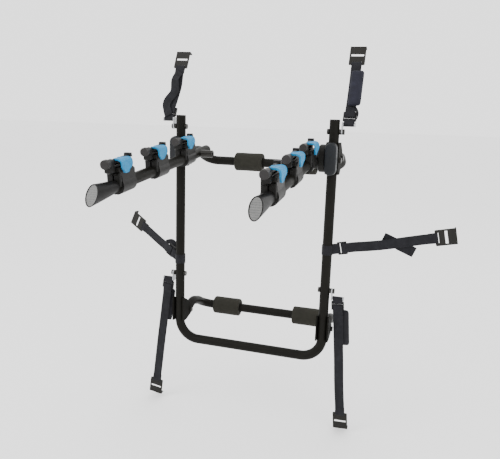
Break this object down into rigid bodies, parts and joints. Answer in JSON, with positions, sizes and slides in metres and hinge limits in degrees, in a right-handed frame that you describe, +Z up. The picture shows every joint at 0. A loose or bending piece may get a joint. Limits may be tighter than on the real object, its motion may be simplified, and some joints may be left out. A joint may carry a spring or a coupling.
{
  "type": "trunk mounted bike rack",
  "caption": "Steel tube rack strapped to a car tailgate: folding arms with clamping bicycle cradles, padded bars that rest on the car, and webbing straps with hooks.",
  "frame": {"origin": "middle of the line where the upper foam sleeves touch the car", "axes": "+Z up, +Y towards the car, +X across the car"},
  "size_m": [1.0074, 0.8023, 1.1374],
  "materials": {
    "black_tube": "satin powder coat",
    "black_plastic": "moulded, fine grain",
    "hub_plastic": "moulded, satin",
    "gloss_plastic": "glossy",
    "reflector": "prismatic reflector",
    "black_bolt": "black zinc",
    "zinc_steel": "zinc plated",
    "hook_steel": "dipped coating",
    "foam": "closed-cell foam skin",
    "blue_rubber": "moulded, satin",
    "webbing": "woven webbing",
    "pad_cloth": "padded cloth"
  },
  "bodies": {
    "frame": {"main_frame": "black_tube", "frame_plugs": "black_plastic", "frame_bolts": "black_bolt", "hub_brackets": "black_tube", "hub_covers": "hub_plastic", "arm_spacers": "black_plastic", "pivot_bolts": "black_bolt", "barrel_nuts": "black_bolt", "lower_brackets": "black_tube", "anchor_plates": "zinc_steel"},
    "upper_pads": {"upper_pad_bar": "black_tube", "upper_foam": "foam"},
    "lower_pads": {"lower_pad_bar": "black_tube", "lower_foam": "foam"},
    "left_arm": {"arm_left": "black_tube", "arm_cap_left": "gloss_plastic", "reflector_left": "reflector", "cradle_left_1": "black_plastic", "cradle_left_2": "black_plastic", "cradle_left_3": "black_plastic"},
    "left_knob_1": {"knob_left_1": "black_plastic"},
    "left_jaw_1": {"jaw_left_1": "blue_rubber"},
    "left_knob_2": {"knob_left_2": "black_plastic"},
    "left_jaw_2": {"jaw_left_2": "blue_rubber"},
    "left_knob_3": {"knob_left_3": "black_plastic"},
    "left_jaw_3": {"jaw_left_3": "blue_rubber"},
    "right_arm": {"arm_right": "black_tube", "arm_cap_right": "gloss_plastic", "reflector_right": "reflector", "cradle_right_1": "black_plastic", "cradle_right_2": "black_plastic", "cradle_right_3": "black_plastic"},
    "right_knob_1": {"knob_right_1": "black_plastic"},
    "right_jaw_1": {"jaw_right_1": "blue_rubber"},
    "right_knob_2": {"knob_right_2": "black_plastic"},
    "right_jaw_2": {"jaw_right_2": "blue_rubber"},
    "right_knob_3": {"knob_right_3": "black_plastic"},
    "right_jaw_3": {"jaw_right_3": "blue_rubber"},
    "upper_left_strap": {"webbing_upper_left": "webbing", "buckle_upper_left": "black_plastic", "hook_upper_left": "hook_steel"},
    "upper_right_strap": {"webbing_upper_right": "webbing", "buckle_upper_right": "black_plastic", "hook_upper_right": "hook_steel", "cover_upper_right": "pad_cloth"},
    "lower_left_strap": {"webbing_lower_left": "webbing", "buckle_lower_left": "black_plastic", "hook_lower_left": "hook_steel", "cover_lower_left": "pad_cloth"},
    "lower_right_strap": {"webbing_lower_right": "webbing", "buckle_lower_right": "black_plastic", "hook_lower_right": "hook_steel", "cover_lower_right": "pad_cloth"},
    "side_left_strap": {"webbing_side_left": "webbing", "buckle_side_left": "black_plastic", "hook_side_left": "hook_steel"},
    "side_right_strap": {"webbing_side_right": "webbing", "buckle_side_right": "black_plastic", "hook_side_right": "hook_steel"}
  },
  "joints": [
    {"name": "left_arm_fold", "type": "hinge", "parent": "frame", "child": "left_arm", "pos_m": [-0.175, -0.2415, 0.034], "axis": [1, 0, 0], "range_deg": [0, 80]},
    {"name": "left_knob_1_turn", "type": "hinge", "parent": "left_arm", "child": "left_knob_1", "pos_m": [-0.175, -0.32725, 0.078], "axis": [0, -0.9942, -0.108], "continuous": true},
    {"name": "left_jaw_1_open", "type": "hinge", "parent": "left_arm", "child": "left_jaw_1", "pos_m": [-0.175, -0.32725, 0.078], "axis": [0, -0.9942, -0.108], "range_deg": [0, 140]},
    {"name": "left_knob_2_turn", "type": "hinge", "parent": "left_arm", "child": "left_knob_2", "pos_m": [-0.175, -0.50123, 0.0591], "axis": [0, -0.9942, -0.108], "continuous": true},
    {"name": "left_jaw_2_open", "type": "hinge", "parent": "left_arm", "child": "left_jaw_2", "pos_m": [-0.175, -0.50123, 0.0591], "axis": [0, -0.9942, -0.108], "range_deg": [0, 140]},
    {"name": "left_knob_3_turn", "type": "hinge", "parent": "left_arm", "child": "left_knob_3", "pos_m": [-0.175, -0.67521, 0.0402], "axis": [0, -0.9942, -0.108], "continuous": true},
    {"name": "left_jaw_3_open", "type": "hinge", "parent": "left_arm", "child": "left_jaw_3", "pos_m": [-0.175, -0.67521, 0.0402], "axis": [0, -0.9942, -0.108], "range_deg": [0, 140]},
    {"name": "right_arm_fold", "type": "hinge", "parent": "frame", "child": "right_arm", "pos_m": [0.175, -0.2415, 0.034], "axis": [1, 0, 0], "range_deg": [0, 80]},
    {"name": "right_knob_1_turn", "type": "hinge", "parent": "right_arm", "child": "right_knob_1", "pos_m": [0.175, -0.32725, 0.078], "axis": [0, -0.9942, -0.108], "continuous": true},
    {"name": "right_jaw_1_open", "type": "hinge", "parent": "right_arm", "child": "right_jaw_1", "pos_m": [0.175, -0.32725, 0.078], "axis": [0, -0.9942, -0.108], "range_deg": [0, 140]},
    {"name": "right_knob_2_turn", "type": "hinge", "parent": "right_arm", "child": "right_knob_2", "pos_m": [0.175, -0.50123, 0.0591], "axis": [0, -0.9942, -0.108], "continuous": true},
    {"name": "right_jaw_2_open", "type": "hinge", "parent": "right_arm", "child": "right_jaw_2", "pos_m": [0.175, -0.50123, 0.0591], "axis": [0, -0.9942, -0.108], "range_deg": [0, 140]},
    {"name": "right_knob_3_turn", "type": "hinge", "parent": "right_arm", "child": "right_knob_3", "pos_m": [0.175, -0.67521, 0.0402], "axis": [0, -0.9942, -0.108], "continuous": true},
    {"name": "right_jaw_3_open", "type": "hinge", "parent": "right_arm", "child": "right_jaw_3", "pos_m": [0.175, -0.67521, 0.0402], "axis": [0, -0.9942, -0.108], "range_deg": [0, 140]},
    {"name": "upper_pad_swing", "type": "hinge", "parent": "frame", "child": "upper_pads", "pos_m": [0, -0.2035, 0.039], "axis": [1, 0, 0], "range_deg": [-40, 90]},
    {"name": "lower_pad_swing", "type": "hinge", "parent": "frame", "child": "lower_pads", "pos_m": [0, -0.2015, -0.469], "axis": [1, 0, 0], "range_deg": [-40, 90]},
    {"name": "upper_left_strap_swing", "type": "hinge", "parent": "frame", "child": "upper_left_strap", "pos_m": [-0.2655, -0.2415, 0.131], "axis": [1, 0, 0], "range_deg": [-60, 100]},
    {"name": "upper_right_strap_swing", "type": "hinge", "parent": "frame", "child": "upper_right_strap", "pos_m": [0.2655, -0.2415, 0.131], "axis": [1, 0, 0], "range_deg": [-60, 100]},
    {"name": "lower_left_strap_swing", "type": "hinge", "parent": "frame", "child": "lower_left_strap", "pos_m": [-0.2655, -0.2415, -0.359], "axis": [1, 0, 0], "range_deg": [-60, 60]},
    {"name": "lower_right_strap_swing", "type": "hinge", "parent": "frame", "child": "lower_right_strap", "pos_m": [0.2655, -0.2415, -0.359], "axis": [1, 0, 0], "range_deg": [-60, 60]},
    {"name": "side_left_strap_swing", "type": "hinge", "parent": "frame", "child": "side_left_strap", "pos_m": [-0.2275, -0.2415, -0.292], "axis": [0, 0, 1], "range_deg": [-50, 50]},
    {"name": "side_right_strap_swing", "type": "hinge", "parent": "frame", "child": "side_right_strap", "pos_m": [0.2275, -0.2415, -0.219], "axis": [0, 0, 1], "range_deg": [-50, 50]}
  ]
}
